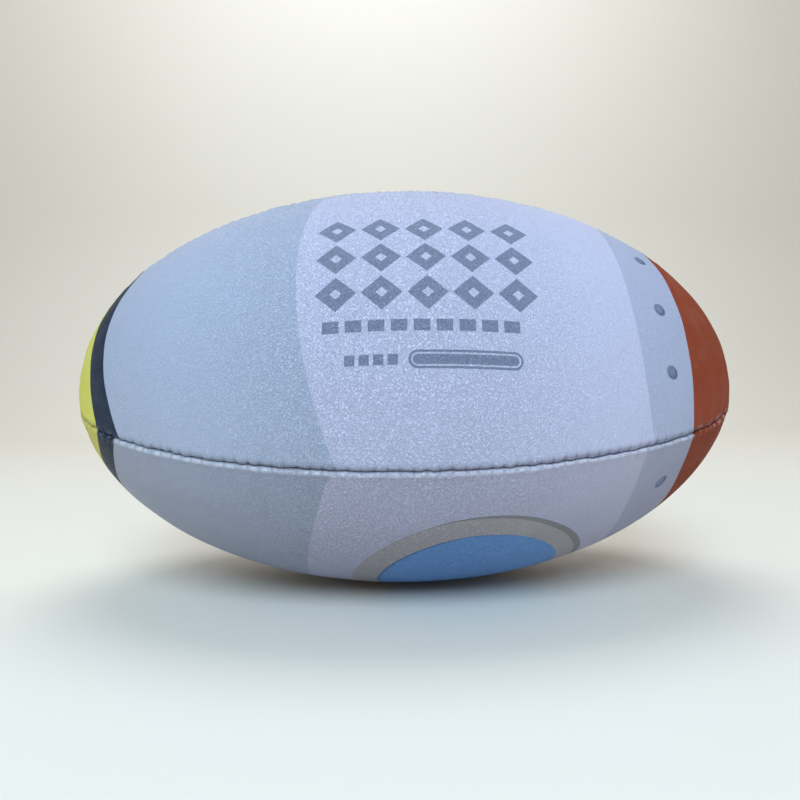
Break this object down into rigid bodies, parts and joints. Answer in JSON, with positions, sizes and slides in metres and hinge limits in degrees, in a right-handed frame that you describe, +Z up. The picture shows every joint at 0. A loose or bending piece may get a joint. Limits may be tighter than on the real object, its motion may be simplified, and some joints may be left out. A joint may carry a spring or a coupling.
{
  "type": "rugby ball",
  "caption": "Size 5 rugby ball: stitched pebbled cover of turned-edge panels with cloth linings over an air bladder with a needle valve.",
  "frame": {"origin": "middle of the ball, on its long axis", "axes": "+X along the long axis towards the red-brown nose, +Z up as the ball lies on its belly, -Y towards the side with the front seam and the main print"},
  "size_m": [0.3, 0.1804, 0.1804],
  "materials": {
    "cover_grip": "satin",
    "lining_cloth": "matte",
    "waxed_thread": "satin",
    "bladder_rubber": "satin",
    "valve_rubber": "matte",
    "insert_rubber": "satin",
    "reinforcement_cloth": "matte"
  },
  "bodies": {
    "root": {"upper_front_panel": "cover_grip", "upper_back_panel": "cover_grip", "lower_back_panel": "cover_grip", "lower_front_panel": "cover_grip", "upper_front_lining": "lining_cloth", "upper_back_lining": "lining_cloth", "lower_back_lining": "lining_cloth", "lower_front_lining": "lining_cloth", "front_seam_thread": "waxed_thread", "top_seam_thread": "waxed_thread", "back_seam_thread": "waxed_thread", "bottom_seam_thread": "waxed_thread", "bladder": "bladder_rubber", "balance_patch": "valve_rubber", "valve_body": "valve_rubber", "valve_insert": "insert_rubber", "valve_reinforcement": "reinforcement_cloth"}
  },
  "joints": []
}
